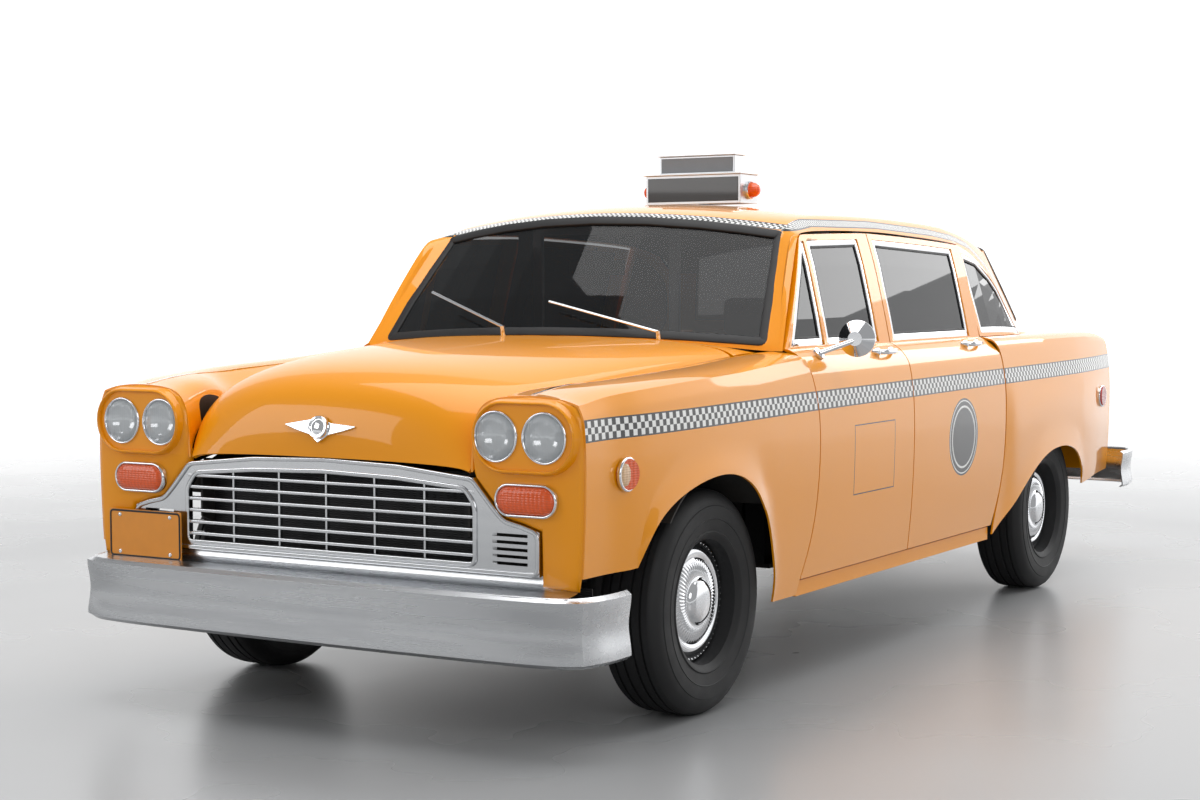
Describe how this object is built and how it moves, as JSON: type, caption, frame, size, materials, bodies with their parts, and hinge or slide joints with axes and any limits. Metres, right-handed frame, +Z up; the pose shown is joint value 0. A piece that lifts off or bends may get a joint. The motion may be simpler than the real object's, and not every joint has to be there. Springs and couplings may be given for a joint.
{
  "type": "taxi cab",
  "caption": "Full-size four-door taxi cab on a separate frame, with opening doors, hood and trunk lid, steered front wheels, a cab partition and a lighted roof sign.",
  "frame": {"origin": "on the ground, half way between the two bumpers' faces, on the car's middle plane", "axes": "+X forward, +Y to the car's left, +Z up"},
  "size_m": [5.156, 2.0371, 1.813],
  "materials": {
    "taxi_yellow": "gloss",
    "glass": "clear tinted",
    "satin_metal": "satin",
    "lamp_glass": "fluted",
    "amber_lens": "gloss",
    "red_lens": "gloss",
    "plate_paint": "satin",
    "sign_metal": "satin",
    "bright_metal": "polished",
    "tyre_rubber": "matte",
    "seat_vinyl": "satin",
    "black_plastic": "matte",
    "partition_metal": "satin",
    "cast_metal": "rough",
    "dark_metal": "satin"
  },
  "bodies": {
    "cab_body": {"chassis_frame": "dark_metal", "cross_members": "dark_metal", "floor_pan": "dark_metal", "firewall": "dark_metal", "inner_fenders": "dark_metal", "cabin_posts": "taxi_yellow", "rocker_panels": "taxi_yellow", "roof": "taxi_yellow", "cowl": "taxi_yellow", "rear_deck": "taxi_yellow", "front_fenders": "taxi_yellow", "rear_quarters": "taxi_yellow", "tail_panel": "taxi_yellow", "windshield": "glass", "rear_window": "glass", "quarter_glass": "glass", "grille": "satin_metal", "front_bumper": "satin_metal", "rear_bumper": "satin_metal", "headlamp_pods": "taxi_yellow", "headlamps": "lamp_glass", "signal_lamps": "amber_lens", "tail_lamps": "red_lens", "front_plate": "plate_paint", "roof_sign": "sign_metal", "wipers": "bright_metal", "dashboard": "black_plastic", "front_seat": "seat_vinyl", "rear_seat": "seat_vinyl", "partition": "partition_metal", "engine": "cast_metal", "radiator": "dark_metal", "fuel_tank": "dark_metal", "exhaust": "dark_metal", "front_suspension": "cast_metal", "rear_axle": "cast_metal"},
    "front_door_l": {"front_door_left": "taxi_yellow", "front_door_glass_left": "glass", "door_mirror": "bright_metal"},
    "front_door_r": {"front_door_right": "taxi_yellow", "front_door_glass_right": "glass"},
    "rear_door_l": {"rear_door_left": "taxi_yellow", "rear_door_glass_left": "glass"},
    "rear_door_r": {"rear_door_right": "taxi_yellow", "rear_door_glass_right": "glass"},
    "hood_panel": {"hood": "taxi_yellow"},
    "trunk_panel": {"trunk_lid": "taxi_yellow", "rear_plate": "plate_paint"},
    "steering_l": {"knuckle_left": "cast_metal"},
    "steering_r": {"knuckle_right": "cast_metal"},
    "wheel_fl": {"front_wheel_left": "bright_metal", "front_tyre_left": "tyre_rubber"},
    "wheel_fr": {"front_wheel_right": "bright_metal", "front_tyre_right": "tyre_rubber"},
    "wheel_rl": {"rear_wheel_left": "bright_metal", "rear_tyre_left": "tyre_rubber"},
    "wheel_rr": {"rear_wheel_right": "bright_metal", "rear_tyre_right": "tyre_rubber"},
    "hand_wheel": {"steering_wheel": "black_plastic"}
  },
  "joints": [
    {"name": "front_door_left_hinge", "type": "hinge", "parent": "cab_body", "child": "front_door_l", "pos_m": [1.062, 0.953, 0.8], "axis": [0, 0, -1], "range_deg": [0, 65]},
    {"name": "front_door_right_hinge", "type": "hinge", "parent": "cab_body", "child": "front_door_r", "pos_m": [1.062, -0.953, 0.8], "axis": [0, 0, 1], "range_deg": [0, 65]},
    {"name": "rear_door_left_hinge", "type": "hinge", "parent": "cab_body", "child": "rear_door_l", "pos_m": [0.262, 0.953, 0.8], "axis": [0, 0, -1], "range_deg": [0, 65]},
    {"name": "rear_door_right_hinge", "type": "hinge", "parent": "cab_body", "child": "rear_door_r", "pos_m": [0.262, -0.953, 0.8], "axis": [0, 0, 1], "range_deg": [0, 65]},
    {"name": "hood_hinge", "type": "hinge", "parent": "cab_body", "child": "hood_panel", "pos_m": [1.25, 0, 1.15], "axis": [0, -1, 0], "range_deg": [0, 50]},
    {"name": "trunk_lid_hinge", "type": "hinge", "parent": "cab_body", "child": "trunk_panel", "pos_m": [-1.59, 0, 1.135], "axis": [0, 1, 0], "range_deg": [0, 65]},
    {"name": "steer_left", "type": "hinge", "parent": "cab_body", "child": "steering_l", "pos_m": [1.74, 0.73, 0.346], "axis": [0, 0, 1], "range_deg": [-30, 30]},
    {"name": "steer_right", "type": "hinge", "parent": "cab_body", "child": "steering_r", "pos_m": [1.74, -0.73, 0.346], "axis": [0, 0, 1], "range_deg": [-30, 30]},
    {"name": "front_wheel_left_spin", "type": "hinge", "parent": "steering_l", "child": "wheel_fl", "pos_m": [1.74, 0.806, 0.346], "axis": [0, 1, 0], "continuous": true},
    {"name": "front_wheel_right_spin", "type": "hinge", "parent": "steering_r", "child": "wheel_fr", "pos_m": [1.74, -0.806, 0.346], "axis": [0, 1, 0], "continuous": true},
    {"name": "rear_wheel_left_spin", "type": "hinge", "parent": "cab_body", "child": "wheel_rl", "pos_m": [-1.308, 0.803, 0.346], "axis": [0, 1, 0], "continuous": true},
    {"name": "rear_wheel_right_spin", "type": "hinge", "parent": "cab_body", "child": "wheel_rr", "pos_m": [-1.308, -0.803, 0.346], "axis": [0, 1, 0], "continuous": true},
    {"name": "steering_wheel_turn", "type": "hinge", "parent": "cab_body", "child": "hand_wheel", "pos_m": [0.755, 0.38, 0.91], "axis": [-0.866, 0, 0.5], "range_deg": [-480, 480]}
  ],
  "couplings": [
    {"joint": "steer_right", "follows": "steer_left", "ratio": 1},
    {"joint": "steering_wheel_turn", "follows": "steer_left", "ratio": 16}
  ]
}
